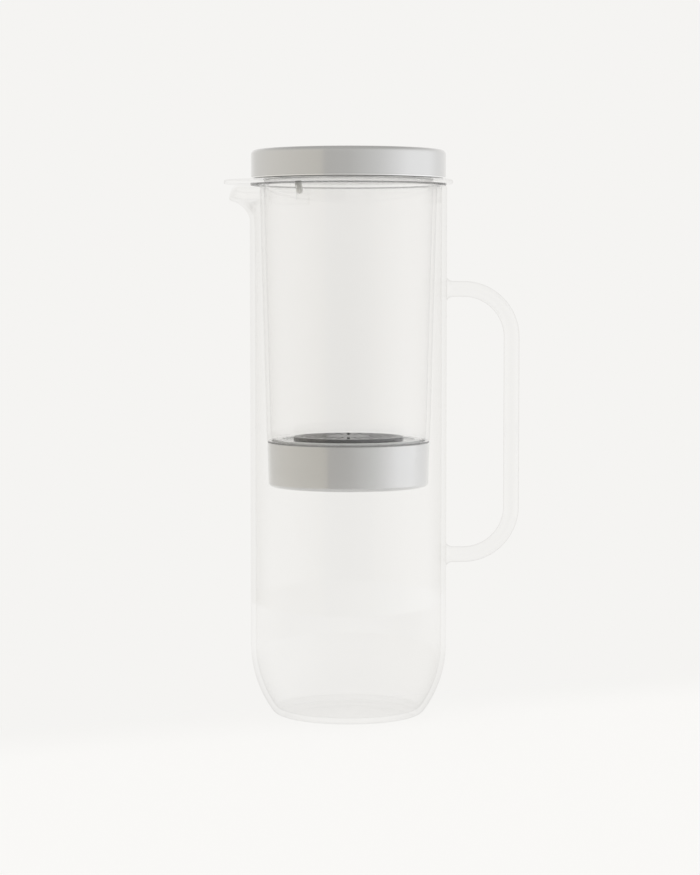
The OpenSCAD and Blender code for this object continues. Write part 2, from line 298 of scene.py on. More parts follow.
def glass_grid():
    """Body of the glass: outside from the base up, over the rim, and inside down to the floor."""
    taper_x = BODY_R - TAPER_R
    heel_x = taper_x + math.sqrt((TAPER_R - HEEL_R) ** 2 - (TAPER_Z - HEEL_R) ** 2)
    heel_a = -math.degrees(math.asin((TAPER_Z - HEEL_R) / (TAPER_R - HEEL_R)))
    foot_in = heel_x - FOOT_RING
    punt = [(foot_in * i / 12, PUNT_H * (1 - (i / 12) ** 2)) for i in range(13)]
    foot = [(foot_in + FOOT_RING * i / 4, 0) for i in range(1, 4)]
    wall = [(BODY_R, TAPER_Z + (SPOUT_Z - TAPER_Z) * i / 40) for i in range(1, 40)]
    outer = punt + foot + arc(heel_x, HEEL_R, HEEL_R, -90, heel_a, 12)
    outer += arc(taper_x, TAPER_Z, TAPER_R, heel_a, 0, 32)[1:] + wall

    inner_r = TAPER_R - GLASS_T
    bend_r = HEEL_R - 1.5
    bend_z = FLOOR_T + bend_r
    bend_x = taper_x + math.sqrt((inner_r - bend_r) ** 2 - (TAPER_Z - bend_z) ** 2)
    bend_a = -math.degrees(math.asin((TAPER_Z - bend_z) / (inner_r - bend_r)))
    inner = [(r - GLASS_T, z) for r, z in reversed(wall)]
    inner += arc(taper_x, TAPER_Z, inner_r, 0, bend_a, 32)
    inner += arc(bend_x, bend_z, bend_r, bend_a, -90, 14)[1:]
    inner += [(bend_x * i / 8, FLOOR_T) for i in range(7, -1, -1)]

    angles = [i * 2.0 for i in range(75)] + [150 + i * 0.75 for i in range(80)]
    angles += [210 + i * 2.0 for i in range(75)]
    heights = list(np.linspace(SPOUT_Z, SWEEP_Z, 6))
    sweep_a = math.asin((SWEEP_END - SWEEP_Z) / SWEEP_R)
    chin_a = math.acos((CHIN_Z - SWEEP_END) / CHIN_R)
    heights += [SWEEP_Z + SWEEP_R * math.sin(t) for t in np.linspace(0, sweep_a, 60)[1:]]
    heights += [CHIN_Z - CHIN_R * math.cos(t) for t in np.linspace(chin_a, math.pi / 2, 12)[1:]]
    heights += list(np.linspace(CHIN_Z, RIM_Z, 20)[1:])
    rows = 72
    upper = np.zeros((len(angles), rows, 3))
    thick = np.zeros((len(angles), rows, 1))
    for i, a in enumerate(angles):
        phi = math.radians(from_spout(a))
        narrow = 1 - smooth(abs(math.degrees(phi)), 13, 27)
        end = edge_height(phi) - (GLASS_T - (GLASS_T - SPOUT_T) * narrow) / 2
        zs = [z for z in heights if z < end] + [end]
        path = along([(glass_radius(z, phi), z) for z in zs], rows)
        for k, (r, z) in enumerate(path):
            upper[i, k] = (r * math.cos(math.radians(a)), r * math.sin(math.radians(a)), z)
            thick[i, k] = GLASS_T - (GLASS_T - SPOUT_T) * narrow * smooth(z, SPOUT_Z, SWEEP_END)
    rise = np.gradient(upper, axis=1)
    rise /= np.linalg.norm(rise, axis=2, keepdims=True)
    round_ = np.roll(upper, -1, axis=0) - np.roll(upper, 1, axis=0)
    out = np.cross(round_, rise)
    out /= np.linalg.norm(out, axis=2, keepdims=True)
    inside = upper - out * thick

    grid = []
    for i, a in enumerate(angles):
        c, s = math.cos(math.radians(a)), math.sin(math.radians(a))
        column = [(r * c, r * s, z) for r, z in outer] + [tuple(p) for p in upper[i]]
        half = thick[i, -1, 0] / 2
        middle = upper[i, -1] - out[i, -1] * half
        for k in range(1, 10):
            t = math.pi * k / 10
            column.append(tuple(middle + half * (out[i, -1] * math.cos(t) + rise[i, -1] * math.sin(t))))
        column += [tuple(p) for p in inside[i, ::-1]] + [(r * c, r * s, z) for r, z in inner]
        grid.append(column)
    return grid


def handle_shell():
    """A swept rod with flared feet that lie on the wall."""
    bend_x = GRIP_X - BEND_R
    path = [(BODY_R + FOOT_LEN * i / 10, ARM_TOP) for i in range(11)]
    path += [(BODY_R + FOOT_LEN + (bend_x - BODY_R - FOOT_LEN) * i / 4, ARM_TOP) for i in range(1, 4)]
    path += arc(bend_x, ARM_TOP - BEND_R, BEND_R, 90, 0, 30)
    top, low = ARM_TOP - BEND_R, ARM_LOW + BEND_R
    path += [(GRIP_X, top + (low - top) * i / 16) for i in range(1, 16)]
    lower = [(x, ARM_TOP + ARM_LOW - z) for x, z in path]
    path += arc(bend_x, low, BEND_R, 0, -90, 30) + list(reversed(lower[:14]))
    path = [p for i, p in enumerate(path) if i == 0 or math.dist(p, path[i - 1]) > 1e-6]
    rings = []
    sides = 56
    for i, (x, z) in enumerate(path):
        x0, z0 = path[max(i - 1, 0)]
        x1, z1 = path[min(i + 1, len(path) - 1)]
        run = Vector((x1 - x0, z1 - z0)).normalized()
        flare = FOOT_FLARE * max(0, 1 - (x - BODY_R) / FOOT_LEN) ** 2.4
        radius = ROD_R + flare
        row = []
        for k in range(sides):
            t = 2 * math.pi * k / sides
            u, y = radius * math.cos(t), radius * math.sin(t)
            row.append([x - run.y * u, y, z + run.x * u])
        rings.append(row)
    weld_r = BODY_R + JOINT_GAP
    for row in (rings[0], rings[-1]):
        for p in row:
            p[0] = math.sqrt(weld_r ** 2 - p[1] ** 2)
    for row, towards in ((rings[1], rings[0]), (rings[-2], rings[-1])):
        for p, q in zip(row, towards):
            p[0] = max(p[0], q[0] + 0.12)

    def cap(row, middle):
        """Rows that close a foot on the wall."""
        inner = []
        for f in (0.75, 0.45):
            inner.append([])
            for p in row:
                y, z = p[1] * f, middle + (p[2] - middle) * f
                inner[-1].append([math.sqrt(weld_r ** 2 - y ** 2), y, z])
        pole = [[weld_r, 0, middle]] * sides
        return inner + [pole]

    rows = list(reversed(cap(rings[0], ARM_TOP))) + rings + cap(rings[-1], ARM_LOW)
    grid = [[tuple(row[k]) for row in rows] for k in range(sides)]
    return shell(grid, poles=True)


def flange_edge(angle):
    """Plan of the flange: a circle, a tongue over the spout and fillets between them."""
    phi = abs(math.radians(from_spout(angle)))
    far = FLANGE_R + TONGUE_FILLET
    x = (far ** 2 + SPOUT_C ** 2 - (TONGUE_R + TONGUE_FILLET) ** 2) / (2 * SPOUT_C)
    at = math.acos(x / far)
    share = TONGUE_R / (TONGUE_R + TONGUE_FILLET)
    meet_y = math.sqrt(far ** 2 - x ** 2) * share
    meet_x = SPOUT_C + (x - SPOUT_C) * share
    if phi >= at:
        return FLANGE_R
    if phi <= math.atan2(meet_y, meet_x):
        return on_circle(SPOUT_C, TONGUE_R, phi)
    off = far * math.sin(phi - at)
    return far * math.cos(phi - at) - math.sqrt(TONGUE_FILLET ** 2 - off ** 2)


def tube_at(z):
    """Outside radius of the tapered tube at a height."""
    return TUBE_R0 + (TUBE_R1 - TUBE_R0) * (z - SHOULDER_Z) / (FLANGE_Z - SHOULDER_Z)


def lug_rows(angle):
    """Corners of the spigot's wall where it swells to a bayonet lug."""
    off = min(abs((angle - p + 180) % 360 - 180) for p in LUG_AT)
    rise = (LUG_R - SPIGOT_R) * (1 - smooth(off, LUG_W / 2 - LUG_SOFT[0], LUG_W / 2))
    (z0, z1), soft = LUG_Z, LUG_SOFT[1]
    rows = [(z0 + soft * i / 6, smooth(i, 0, 6)) for i in range(7)]
    rows += [(z1 - soft + soft * i / 6, 1 - smooth(i, 0, 6)) for i in range(7)]
    return [(SPIGOT_R + rise * f, z, 0) for z, f in rows]


def tube_section(angle):
    """Outline of the tube at an angle: spigot and wall outside, flange, and inside down to the ledge."""
    edge = flange_edge(angle)
    outside = [(SPIGOT_R, TUBE_LOW[2], 0.4)] + lug_rows(angle)
    outside += [(SPIGOT_R, SHOULDER_Z, 0.25), (TUBE_R0, SHOULDER_Z, 0.35), (TUBE_R1, FLANGE_Z, 0.5)]
    flange = [(edge, FLANGE_Z, 0.7), (edge, FLANGE_TOP, 0.9), (MOUTH_R, FLANGE_TOP, 0.6)]
    inside = [(MOUTH_R, FLANGE_Z, 0.5), (tube_at(STEP_Z) - TUBE_T, STEP_Z, 0.8)]
    inside += [(SPIGOT_IN, SHOULDER_Z - 0.7, 0.6), (SPIGOT_IN, LEDGE_Z, 0.25)]
    ledge = [(LEDGE_IN, LEDGE_Z, 0.3), (LEDGE_IN, LEDGE_Z - LEDGE_T, 0.3)]
    ledge += [(SPIGOT_IN, LEDGE_Z - LEDGE_T - LEDGE_SLOPE, 0.5), (SPIGOT_IN, TUBE_LOW[2], 0.4)]
    return rounded(outside + flange + inside + ledge)


def tube_angles():
    """Angles of the tube's columns, closer at the tongue and at the ends of the lugs."""
    angles = set(float(a) for a in range(0, 360, 2)) | set(150 + i * 1.0 for i in range(61))
    for p in LUG_AT:
        for side in (-1, 1):
            for off in range(-1, 10):
                angles.add((p + side * (LUG_W / 2 - LUG_SOFT[0] * off / 8)) % 360)
    angles = sorted(angles)
    return [a for i, a in enumerate(angles) if i == 0 or a - angles[i - 1] > 0.04]


def tab_shell(at):
    """A block on the tube's wall, TAB_W degrees wide."""
    z0, z1 = TAB_Z
    low, high = tube_at(z0) + JOINT_GAP, tube_at(z1) + JOINT_GAP
    outline = rounded([(low, z0, 0.15), (TAB_R, z0, 0.4), (TAB_R, z1, 0.4), (high, z1, 0.15)])
    a0, a1 = at - TAB_W / 2, at + TAB_W / 2
    angles = [a0, a0 + 0.1] + list(np.linspace(a0 + 0.5, a1 - 0.5, 24)) + [a1 - 0.1, a1]
    rows, last = len(outline), (len(angles) - 1) * len(outline)
    points = [p for column in turned(lambda a: outline, angles) for p in column]
    faces = [list(range(rows)), list(range(last + rows - 1, last - 1, -1))]
    for c in range(0, last, rows):
        for r in range(rows):
            up = (r + 1) % rows
            faces.append([c + r, c + rows + r, c + rows + up, c + up])
    return points, faces


# Materials


def material(name, colour, rough, **sockets):
    """Principled material, with its tree and shader."""
    mat = bpy.data.materials.new(name)
    mat.use_nodes = True
    tree = mat.node_tree
    bsdf = tree.nodes["Principled BSDF"]
    bsdf.inputs["Base Color"].default_value = (*colour, 1)
    bsdf.inputs["Roughness"].default_value = rough
    for socket, value in sockets.items():
        bsdf.inputs[socket.replace("_", " ")].default_value = value
    return mat, tree, bsdf


def node(tree, kind, values=(), **props):
    """New node with values on its input sockets and settings on itself."""
    made = tree.nodes.new(kind)
    for key, value in props.items():
        setattr(made, key, value)
    for key, value in values:
        made.inputs[key].default_value = value
    return made


def bare_material(name):
    """Material with nothing but its output."""
    mat = bpy.data.materials.new(name)
    mat.use_nodes = True
    mat.node_tree.nodes.clear()
    return mat, mat.node_tree, node(mat.node_tree, "ShaderNodeOutputMaterial")


def map_range(tree, x0, x1, y0=0, y1=1, kind="LINEAR"):
    """Node that goes from y0 to y1 while its input goes from x0 to x1."""
    ends = [("From Min", x0), ("From Max", x1), ("To Min", y0), ("To Max", y1)]
    return node(tree, "ShaderNodeMapRange", ends, interpolation_type=kind)


def place(tree, stretch):
    """Object coordinates, stretched."""
    coord = node(tree, "ShaderNodeTexCoord")
    mapping = node(tree, "ShaderNodeMapping", [("Scale", stretch)])
    tree.links.new(coord.outputs["Object"], mapping.inputs["Vector"])
    return mapping.outputs["Vector"]


def grain(tree, vector, scale, detail):
    """Noise from 0 to 1."""
    made = node(tree, "ShaderNodeTexNoise", [("Scale", scale), ("Detail", detail)])
    tree.links.new(vector, made.inputs["Vector"])
    return made.outputs["Fac"]


def bump(tree, bsdf, height, strength, distance):
    """Fine relief on a shader's normal."""
    made = node(tree, "ShaderNodeBump", [("Strength", strength), ("Distance", distance)])
    tree.links.new(height, made.inputs["Height"])
    tree.links.new(made.outputs["Normal"], bsdf.inputs["Normal"])


def tint(tree, socket, fac, low, high):
    """Colour of a socket, mixed from low to high."""
    made = node(tree, "ShaderNodeMix", [(6, (*low, 1)), (7, (*high, 1))], data_type="RGBA")
    tree.links.new(fac, made.inputs["Factor"])
    tree.links.new(made.outputs[2], socket)


def vary(tree, bsdf, fac, low, high):
    """Roughness of a shader, from low to high."""
    made = map_range(tree, 0, 1, low, high)
    tree.links.new(fac, made.inputs["Value"])
    tree.links.new(made.outputs["Result"], bsdf.inputs["Roughness"])


def clear_material(name, low, high, edge, mirror, ripple, stretch, reach=10):
    """Clear thin wall with faint ripples: sheer face on, a mirror at a glancing angle, where the see-through
    colour darkens towards edge: partly the longer path through the wall, partly painted shade standing in for
    light that real glass would bend.
    """
    mat, tree, out = bare_material(name)
    sheer = node(tree, "ShaderNodeBsdfTransparent")
    gloss = node(tree, "ShaderNodeBsdfAnisotropic", [("Color", (1, 1, 1, 1)), ("Roughness", 0)])
    glance = node(tree, "ShaderNodeLayerWeight", [("Blend", 0.5)])
    curve = node(tree, "ShaderNodeMath", [(1, 5)], operation="POWER")
    share = map_range(tree, 0, 1, mirror)
    mix = node(tree, "ShaderNodeMixShader")
    edge_shade_mask = node(tree, "ShaderNodeMath", [(1, reach)], operation="POWER")
    tint_and_edge_shade = node(tree, "ShaderNodeMix", [(7, (*edge, 1))], data_type="RGBA")
    wave = grain(tree, place(tree, stretch), 1, 1)
    tint(tree, tint_and_edge_shade.inputs[6], wave, low, high)
    bump(tree, gloss, wave, ripple, 0.0004)
    link = tree.links.new
    link(glance.outputs["Facing"], edge_shade_mask.inputs[0])
    link(edge_shade_mask.outputs[0], tint_and_edge_shade.inputs["Factor"])
    link(tint_and_edge_shade.outputs[2], sheer.inputs["Color"])
    link(glance.outputs["Facing"], curve.inputs[0])
    link(curve.outputs[0], share.inputs["Value"])
    link(share.outputs["Result"], mix.inputs["Fac"])
    link(sheer.outputs["BSDF"], mix.inputs[1])
    link(gloss.outputs["BSDF"], mix.inputs[2])
    link(mix.outputs["Shader"], out.inputs["Surface"])
    return mat


def metal_material(name, low, high, rough):
    """Steel with a fine grain that runs round the axis."""
    mat, tree, bsdf = material(name, low, rough, Metallic=1, Anisotropic=0.8, Anisotropic_Rotation=0.25)
    tangent = node(tree, "ShaderNodeTangent", direction_type="RADIAL", axis="Z")
    tree.links.new(tangent.outputs["Tangent"], bsdf.inputs["Tangent"])
    coord = node(tree, "ShaderNodeTexCoord")
    flat = node(tree, "ShaderNodeVectorMath", [(1, (1, 1, 0))], operation="MULTIPLY")
    length = node(tree, "ShaderNodeVectorMath", operation="LENGTH")
    parts = node(tree, "ShaderNodeSeparateXYZ")
    lines = node(tree, "ShaderNodeCombineXYZ")
    tree.links.new(coord.outputs["Object"], flat.inputs[0])
    tree.links.new(flat.outputs["Vector"], length.inputs[0])
    tree.links.new(coord.outputs["Object"], parts.inputs["Vector"])
    tree.links.new(length.outputs["Value"], lines.inputs["X"])
    tree.links.new(parts.outputs["Z"], lines.inputs["Y"])
    scratch = grain(tree, lines.outputs["Vector"], 4000, 2)
    tint(tree, bsdf.inputs["Base Color"], scratch, low, high)
    vary(tree, bsdf, scratch, rough - 0.025, rough + 0.025)
    bump(tree, bsdf, scratch, 0.04, 0.00005)
    return mat


def plain_material(name, colour, rough, scale, depth, spread=0.04, **sockets):
    """Moulded plastic or silicone with a fine surface grain."""
    mat, tree, bsdf = material(name, colour, rough, **sockets)
    fine = grain(tree, place(tree, (1, 1, 1)), scale, 3)
    low, high = [c * (1 - spread) for c in colour], [min(c * (1 + spread), 1) for c in colour]
    tint(tree, bsdf.inputs["Base Color"], fine, low, high)
    vary(tree, bsdf, fine, rough - 0.05, rough + 0.05)
    bump(tree, bsdf, fine, 0.3, depth)
    return mat


def bead_material(name, dark, light, rough, size):
    """Packed granules."""
    mat, tree, bsdf = material(name, light, rough)
    cells = node(tree, "ShaderNodeTexVoronoi", [("Scale", 1 / size)])
    tree.links.new(place(tree, (1, 1, 1)), cells.inputs["Vector"])
    tint(tree, bsdf.inputs["Base Color"], cells.outputs["Distance"], light, dark)
    bump(tree, bsdf, cells.outputs["Distance"], 0.8, size * 0.5)
    return mat


GLASS_TINT = (0.9915, 0.991, 0.9895), (0.9965, 0.996, 0.9945)
PLASTIC_TINT = (0.9955, 0.995, 0.9945), (0.9985, 0.998, 0.9975)
MATERIALS = {
    # The third colour of each clear material is its glancing edge: partly the longer path through the wall,
    # partly painted shade in place of bent light; the rod's edge shade is darker and spreads wider.
    "glass": clear_material("glass", *GLASS_TINT, (0.85, 0.845, 0.835), 0.04, 0.01, (30, 30, 3)),
    "rod_glass": clear_material("rod_glass", *GLASS_TINT, (0.8, 0.795, 0.785), 0.04, 0.01, (30, 30, 3), 4),
    "clear_plastic": clear_material(
        "clear_plastic", *PLASTIC_TINT, (0.75, 0.745, 0.74), 0.043, 0.01, (40, 40, 8)),
    "satin_metal": metal_material("satin_metal", (0.735, 0.735, 0.735), (0.78, 0.78, 0.78), 0.225),
    # A brighter, smoother copy of the satin steel: painted highlight for the bead at the lid's lower edge.
    "painted_highlight_metal": metal_material("painted_highlight_metal", (0.95, 0.95, 0.95), (0.98, 0.98, 0.98), 0.15),
    "grey_plastic": plain_material("grey_plastic", (0.24, 0.24, 0.235), 0.2, 1800, 0.000008),
    # A lighter copy of grey_plastic: painted light for the peg, which sits in the shade under the lid.
    "peg_plastic_painted_light": plain_material("peg_plastic_painted_light", (0.62, 0.62, 0.6), 0.2, 1800, 0.000008),
    "white_plastic": plain_material("white_plastic", (0.8, 0.81, 0.81), 0.14, 1500, 0.000004, 0.02),
    "charcoal_plastic": plain_material("charcoal_plastic", (0.02, 0.02, 0.022), 0.28, 1500, 0.00001, 0.15),
    "grey_silicone": plain_material("grey_silicone", (0.2, 0.2, 0.205), 0.5, 1200, 0.00003, 0.08, Alpha=0.4),
    "faint_silicone": plain_material("faint_silicone", (0.3, 0.3, 0.3), 0.4, 1200, 0.00003, 0.08, Alpha=0.35),
    "pale_silicone": plain_material("pale_silicone", (0.7, 0.7, 0.69), 0.4, 1200, 0.00003, 0.03, Alpha=0.15),
    "fleece": plain_material("fleece", (0.86, 0.86, 0.83), 0.9, 3500, 0.0002, 0.06),
    "carbon": bead_material("carbon", (0.004, 0.004, 0.004), (0.03, 0.03, 0.031), 0.75, 0.0009),
    "resin": bead_material("resin", (0.18, 0.1, 0.03), (0.5, 0.3, 0.09), 0.4, 0.0007),
}


def finish_piece(obj, body, slot, *nodes, look=None):
    """Material and body of a piece, and hides the CAD nodes that it stands for; the slot picks the material
    unless a look is given.
    """
    obj.data.materials.append(MATERIALS[look or slot])
    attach(obj, body)
    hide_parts(*nodes)


# Pieces

SLOT_OF = {row["node"]: row["material_slot"] for row in frame["record"]["subparts"]}
carafe = mesh_object("glass_body", *shell(glass_grid(), poles=True))
finish_piece(carafe, "carafe", "glass", "carafe_glass")
rod = mesh_object("glass_handle", *handle_shell())
finish_piece(rod, "carafe", "glass", "handle", look="rod_glass")
tube = mesh_object("reservoir", *shell(turned(tube_section, tube_angles()), loop=True))
finish_piece(tube, "reservoir", "clear_plastic", "reservoir_tube")
tabs = join("centring_tabs", [tab_shell(at) for at in TAB_AT])
finish_piece(tabs, "reservoir", "clear_plastic", "reservoir_tube")

SEAL_GAP = 0.04
RINGS = (
    ("rim_seal", "flange_seal", "reservoir", "grey_silicone", 45.1, 0.24),
    ("cup_seal", "cup_gasket", "reservoir", "faint_silicone", 39.3, 0.3),
    ("lid_seal", "lid_gasket", "lid", "pale_silicone", 41.5, 0.35),
    ("ledge_seal", "cartridge_seal", "cartridge", "grey_silicone", 35.3, 0.3),
)
for name, cad, body, look, inner, fillet in RINGS:
    low, high = span(cad)
    seal = ring(name, inner, high[0], low[2], high[2] - SEAL_GAP, fillet)
    finish_piece(seal, body, SLOT_OF[cad], cad, look=look)

LID_LOW, LID_HIGH = span("lid_shell")
LID_R, LID_TOP = LID_HIGH[0], LID_HIGH[2]
LID_T, BEAD_Z = 1.2, (LID_LOW[2] - 0.3, LID_LOW[2] + 0.4)
LID_Z = BEAD_Z[1] + JOINT_GAP
lid = revolve("lid_cap", rounded([
    (0, LID_TOP - LID_T, 0), (LID_R - LID_T, LID_TOP - LID_T, 1.2), (LID_R - LID_T, LID_Z, 0.1),
    (LID_R, LID_Z, 0.05), (LID_R, LID_TOP, 2.4), (0, LID_TOP, 0)], closed=False, steps=9),
    loop=False, steps=256)
finish_piece(lid, "lid", "satin_metal", "lid_shell")
# A bead under the lid's edge, drawn in a brighter copy of the lid's steel as a painted highlight line.
bead = ring("lid_bead", LID_R - LID_T, LID_R, *BEAD_Z, 0.1, 256)
finish_piece(bead, "lid", "satin_metal", "lid_shell", look="painted_highlight_metal")

INSERT_LOW, INSERT_HIGH = span("lid_insert")
INSERT_R, INSERT_TOP = INSERT_HIGH[0], INSERT_HIGH[2]
INSERT_Z = FLANGE_TOP + 0.1
INSERT_IN, DISC_TOP = INSERT_R - 1.8, INSERT_Z + 2.5
PLUG_R, PLUG_Z = MOUTH_R - 0.6, FLANGE_Z + 0.6
DISH_R = PLUG_R - 4.7
PEG_R, PEG_AT, PEG_TOP, PEG_LEAN = 1.7, (PLUG_R - 2.7, 231.3), PLUG_Z - JOINT_GAP / 2, 0.12


def block(x0, x1, half, z0, z1, turn):
    """A closed box along a radius."""
    c, s = math.cos(math.radians(turn)), math.sin(math.radians(turn))
    grid = [[(x * c - y * s, x * s + y * c, z) for z in (z0, z1)] for x, y in
            ((x0, -half), (x1, -half), (x1, half), (x0, half))]
    points, faces = shell(grid)
    return points, faces + [[6, 4, 2, 0], [1, 3, 5, 7]]


disc_shell = shell(turned(lambda a: rounded([
    (0, INSERT_Z, 0), (INSERT_R, INSERT_Z, 0.3), (INSERT_R, INSERT_TOP, 0.4), (INSERT_IN, INSERT_TOP, 0.4),
    (INSERT_IN, DISC_TOP, 0.6), (0, DISC_TOP, 0)], closed=False), even(192)), poles=True)
webs = [block(1, INSERT_IN + 0.1, 0.8, DISC_TOP - 0.1, INSERT_TOP - 1, a) for a in range(0, 360, 60)]
# The disc is dark grey; its edge, seen in the gap under the lid, is partly its own colour and partly painted
# shade that keeps the gap dark.
finish_piece(join("lid_disc", [disc_shell] + webs), "lid", "grey_plastic", "lid_insert")
DISH_Z, DISH_TOP, GROOVE_R, GROOVE_Z = PLUG_Z + 1.4, INSERT_Z - JOINT_GAP, PLUG_R - 1, PLUG_Z + 0.5
dish = revolve("lid_dish", rounded([
    (0, DISH_Z, 0), (GROOVE_R, DISH_Z, 0.05), (GROOVE_R, DISH_TOP, 0.05), (0, DISH_TOP, 0)],
    closed=False), loop=False)
finish_piece(dish, "lid", "white_plastic", "lid_insert")
LIP_TOP = DISH_Z - JOINT_GAP
lip = revolve("lid_lip", rounded([
    (DISH_R, LIP_TOP, 0.1), (DISH_R, PLUG_Z, 0.4), (PLUG_R, PLUG_Z, 0.25), (PLUG_R, GROOVE_Z, 0.15),
    (GROOVE_R, GROOVE_Z, 0.1), (GROOVE_R, LIP_TOP, 0.1)]))
finish_piece(lip, "lid", "clear_plastic", "lid_insert")
peg_x, peg_y = (PEG_AT[0] * f(math.radians(PEG_AT[1])) for f in (math.cos, math.sin))
peg_side = arc(0, INSERT_LOW[2] + PEG_R, PEG_R, -90, 0, 10) + [(PEG_R, PEG_TOP), (0, PEG_TOP)]
peg_grid = [[(x + peg_x + PEG_LEAN * (PLUG_Z - z), y + peg_y, z) for x, y, z in column]
            for column in turned(lambda a: peg_side, even(40))]
peg = mesh_object("lid_peg", *shell(peg_grid, poles=True))
# The peg uses a lighter copy of its grey plastic, painted light against the shade under the lid.
finish_piece(peg, "lid", "grey_plastic", "lid_insert", look="peg_plastic_painted_light")

BAND_LOW, BAND_HIGH = span("cup_sleeve")
BAND_R1, BAND_R0, BAND_T, BAND_HOLE = BAND_HIGH[0], BAND_HIGH[0] - 0.6, 0.7, 26
band = revolve("cup_band", rounded([
    (BAND_HOLE, BAND_LOW[2], 0.2), (BAND_R0, BAND_LOW[2], 1.8), (BAND_R1, BAND_HIGH[2], 0.2),
    (BAND_R1 - BAND_T, BAND_HIGH[2], 0.2), (BAND_R0 - BAND_T, BAND_LOW[2] + BAND_T, 1.2),
    (BAND_HOLE, BAND_LOW[2] + BAND_T, 0.2)], steps=9), steps=256)
finish_piece(band, "filter_cup", "satin_metal", "cup_sleeve")


def disc(name, cad, slot, cell, depth):
    """A bed or fleece with a slightly uneven top and bottom."""
    low, high = span(cad)
    radius, steps, rows = high[0], 120, 26

    def rough(x, y, side):
        """How far a face lies below its plane."""
        return depth * (noise.noise(Vector((x / cell, y / cell, side * 7.3))) - 1) / 2

    grid = []
    for i in range(steps):
        a = 2 * math.pi * i / steps
        column = []
        for side, order in ((-1, range(rows + 1)), (1, range(rows, -1, -1))):
            for k in order:
                r = radius * k / rows - (depth if k == rows else 0)
                x, y = r * math.cos(a), r * math.sin(a)
                face = high[2] if side > 0 else low[2]
                column.append((x, y, face + side * rough(x, y, side)))
            if side < 0:
                wall = radius * math.cos(a), radius * math.sin(a)
                column += [(*wall, low[2] + (high[2] - low[2]) * f) for f in (0.25, 0.75)]
        grid.append(column)
    obj = mesh_object(name, *shell(grid, poles=True))
    finish_piece(obj, "cartridge", slot, cad)


disc("upper_fleece", "top_fleece", "fleece", 2.5, 0.12)
disc("carbon_granules", "carbon_bed", "carbon", 0.8, 0.25)
disc("centre_fleece", "middle_fleece", "fleece", 2.5, 0.12)
disc("resin_beads", "resin_bed", "resin", 0.8, 0.25)
disc("lower_fleece", "bottom_fleece", "fleece", 2.5, 0.12)

COVER_LOW, COVER_HIGH = span("cartridge_cover")
GRILLE_LOW, GRILLE_HIGH = span("cartridge_grille")
COVER_R, GRILLE_R = COVER_HIGH[0], GRILLE_HIGH[0]
COVER_IN, COVER_WELL, COVER_Z = GRILLE_R - 2, COVER_R - 3.6, COVER_LOW[2] + 1.4
cover = revolve("cover_ring", rounded([
    (COVER_IN, COVER_LOW[2], 0.2), (COVER_R, COVER_LOW[2], 0.2), (COVER_R, COVER_HIGH[2], 0.4),
    (COVER_WELL, COVER_HIGH[2], 0.3), (COVER_WELL, COVER_Z, 0.3), (COVER_IN, COVER_Z, 0.2)]))
finish_piece(cover, "cartridge", "white_plastic", "cartridge_cover")


def grille_shell(count=24, first=11, last=25, half=0.8):
    """A puck on a neck, pierced by radial slots with round ends."""
    z0, z1 = GRILLE_LOW[2], GRILLE_HIGH[2]
    neck, foot = COVER_IN - 0.1, COVER_Z + 0.1
    ends = [half * (1 - math.cos(math.radians(a))) for a in (12, 35, 62, 90)]
    radii = [4, 8] + [first + e for e in ends] + list(np.linspace(first + 2, last - 2, 8))
    radii += [last - e for e in reversed(ends)]
    top = [(r, z1) for r in radii] + [(GRILLE_R - 1, z1)] + arc(GRILLE_R - 0.6, z1 - 0.6, 0.6, 90, 0, 6)
    side = [(GRILLE_R, foot + 0.2), (GRILLE_R - 0.2, foot), (neck, foot), (neck, z0)]
    rows = top + side + [(r, z0) for r in reversed(radii)]
    last_row = len(rows) - 1

    def open_at(r):
        """Half width of a slot at a radius."""
        near = min(r - first, last - r)
        return math.sqrt(max(half ** 2 - max(half - near, 0) ** 2, 0.02)) if near > 0 else 0.15

    grid = []
    for i in range(count):
        for k in range(6):
            column = []
            for r, z in rows:
                turn = math.degrees(math.asin(open_at(r) / r))
                step = 360 / count
                a = i * step + (-turn if k == 0 else turn + (step - 2 * turn) * (k - 1) / 5)
                column.append((r * math.cos(math.radians(a)), r * math.sin(math.radians(a)), z))
            grid.append(column)
    points, faces = [(0, 0, z0), (0, 0, z1)], []
    for column in grid:
        points += column
    per, columns = len(rows), len(grid)

    def at(c, r):
        return 2 + (c % columns) * per + r

    slot = range(2, len(radii) - 1)
    for c in range(columns):
        faces += [[1, at(c, 0), at(c + 1, 0)], [0, at(c + 1, last_row), at(c, last_row)]]
        for r in range(per - 1):
            if c % 6 or (r not in slot and last_row - 1 - r not in slot):
                faces.append([at(c, r), at(c, r + 1), at(c + 1, r + 1), at(c + 1, r)])
        if c % 6 == 0:
            for r in slot:
                low, low_on = last_row - r, last_row - r - 1
                faces.append([at(c, r), at(c, r + 1), at(c, low_on), at(c, low)])
                faces.append([at(c + 1, r + 1), at(c + 1, r), at(c + 1, low), at(c + 1, low_on)])
            for r, on, back in ((slot[0], c + 1, c), (slot[-1] + 1, c, c + 1)):
                faces.append([at(on, r), at(back, r), at(back, last_row - r), at(on, last_row - r)])
    return points, faces


grille = mesh_object("inlet_grille", *grille_shell())
finish_piece(grille, "cartridge", "charcoal_plastic", "cartridge_grille")

for name, part in frame["nodes"].items():
    part.data.materials.clear()
    part.data.materials.append(MATERIALS[SLOT_OF[name]])

# Stage

WALL = (0.913, 0.905, 0.888)
FLOOR = (0.957, 0.949, 0.932)
CEILING = (0.5, 0.495, 0.48, 1)
FLOOR_R, FLOOR_Z = 450, -0.02


def ray_share(tree, *kinds):
    """1 for rays of the given kinds."""
    path = node(tree, "ShaderNodeLightPath")
    total = path.outputs[kinds[0]]
    for kind in kinds[1:]:
        add = node(tree, "ShaderNodeMath", operation="MAXIMUM")
        tree.links.new(total, add.inputs[0])
        tree.links.new(path.outputs[kind], add.inputs[1])
        total = add.outputs[0]
    return total


